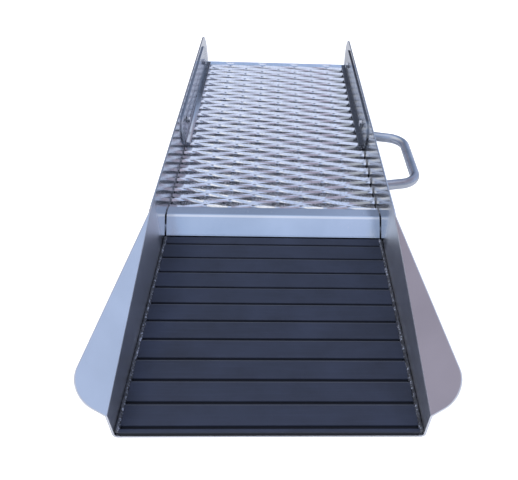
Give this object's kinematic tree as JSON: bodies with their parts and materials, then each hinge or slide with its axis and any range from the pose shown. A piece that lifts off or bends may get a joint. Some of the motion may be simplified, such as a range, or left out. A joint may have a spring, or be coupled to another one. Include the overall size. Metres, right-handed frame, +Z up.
{
  "type": "sluice box",
  "caption": "Portable stream sluice: open metal trough with flared intake wings, ribbed rubber mat, ramp, moss bed under expanded mesh, clamping strips and a side carry handle.",
  "frame": {"origin": "middle of the trough's flat underside", "axes": "+Y along the trough from the intake to the tail, +X across towards the handle, +Z up"},
  "size_m": [0.3357, 0.8183, 0.0694],
  "materials": {
    "trough_sheet": "bright cold-rolled sheet, almost a mirror, with fine rolling lines",
    "mat_rubber": "black moulded rubber, satin",
    "sealant": "grey sealant, uneven",
    "ramp_sheet": "bright rolled sheet, satin",
    "rivet": "plain",
    "moss": "looped dark grey fibre",
    "mesh": "bright expanded metal with sheared edges",
    "strip_sheet": "rolled sheet, satin",
    "screw": "plain stainless steel",
    "washer": "plain stainless steel",
    "clinch_nut": "plain stainless steel",
    "handle_rod": "drawn rod, satin grey",
    "weld": "rippled weld metal"
  },
  "bodies": {
    "trough": {"trough_body": "trough_sheet", "intake_mat": "mat_rubber", "sealant_left": "sealant", "sealant_right": "sealant", "front_ramp": "ramp_sheet", "ramp_rivets": "rivet", "clinch_nuts_left": "clinch_nut", "clinch_nuts_right": "clinch_nut", "carry_handle": "handle_rod", "handle_welds": "weld"},
    "mesh": {"riffle_mesh": "mesh"},
    "moss": {"miners_moss": "moss"},
    "strip_left": {"clamp_strip_left": "strip_sheet"},
    "strip_right": {"clamp_strip_right": "strip_sheet"},
    "screw_front_left_body": {"screw_front_left": "screw", "washer_front_left": "washer"},
    "screw_tail_left_body": {"screw_tail_left": "screw", "washer_tail_left": "washer"},
    "screw_front_right_body": {"screw_front_right": "screw", "washer_front_right": "washer"},
    "screw_tail_right_body": {"screw_tail_right": "screw", "washer_tail_right": "washer"}
  },
  "joints": [
    {"name": "mesh_slide", "type": "slide", "parent": "trough", "child": "mesh", "axis": [0, 1, 0], "range_m": [0, 0.484]},
    {"name": "moss_slide", "type": "slide", "parent": "trough", "child": "moss", "axis": [0, 1, 0], "range_m": [0, 0.484]},
    {"name": "strip_left_lift", "type": "slide", "parent": "trough", "child": "strip_left", "axis": [0, 0, 1], "range_m": [0, 0.008]},
    {"name": "strip_right_lift", "type": "slide", "parent": "trough", "child": "strip_right", "axis": [0, 0, 1], "range_m": [0, 0.008]},
    {"name": "screw_front_left_turn", "type": "hinge", "parent": "trough", "child": "screw_front_left_body", "pos_m": [-0.1267, 0.094, 0.0426], "axis": [1, 0, 0], "range_deg": [0, 720]},
    {"name": "screw_tail_left_turn", "type": "hinge", "parent": "trough", "child": "screw_tail_left_body", "pos_m": [-0.1267, 0.321, 0.0426], "axis": [1, 0, 0], "range_deg": [0, 720]},
    {"name": "screw_front_right_turn", "type": "hinge", "parent": "trough", "child": "screw_front_right_body", "pos_m": [0.1267, 0.094, 0.0426], "axis": [-1, 0, 0], "range_deg": [0, 720]},
    {"name": "screw_tail_right_turn", "type": "hinge", "parent": "trough", "child": "screw_tail_right_body", "pos_m": [0.1267, 0.321, 0.0426], "axis": [-1, 0, 0], "range_deg": [0, 720]}
  ]
}
